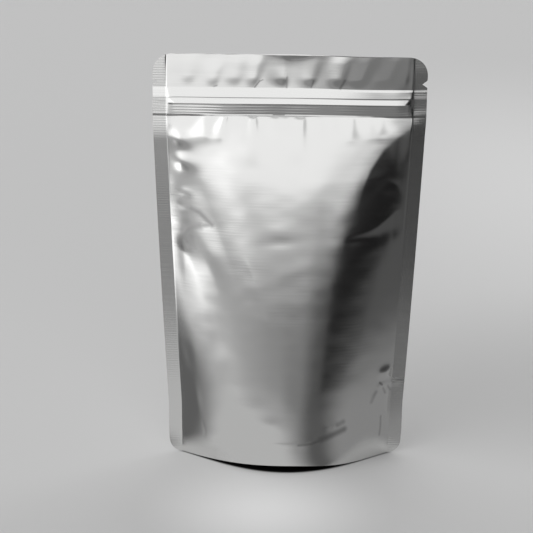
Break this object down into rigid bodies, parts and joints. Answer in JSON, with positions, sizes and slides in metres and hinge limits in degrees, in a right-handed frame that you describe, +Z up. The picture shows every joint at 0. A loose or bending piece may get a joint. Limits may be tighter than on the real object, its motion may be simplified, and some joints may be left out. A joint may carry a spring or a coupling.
{
  "type": "stand-up zipper pouch",
  "caption": "Plain foil stand-up pouch with a bottom gusset, flat side seals, rounded corners, tear notches and a press-to-close zipper, puffed open and standing.",
  "frame": {"origin": "middle of the footprint of the bounding box, on the surface that the pouch stands on", "axes": "+Z up the pouch to its mouth, -Y out of its front panel, X across its width from side seal to side seal"},
  "size_m": [0.15, 0.0612, 0.23],
  "materials": {
    "foil": "plain silver foil laminate with a satin face and fine rolling lines"
  },
  "bodies": {
    "root": {"pouch": "foil"}
  },
  "joints": []
}
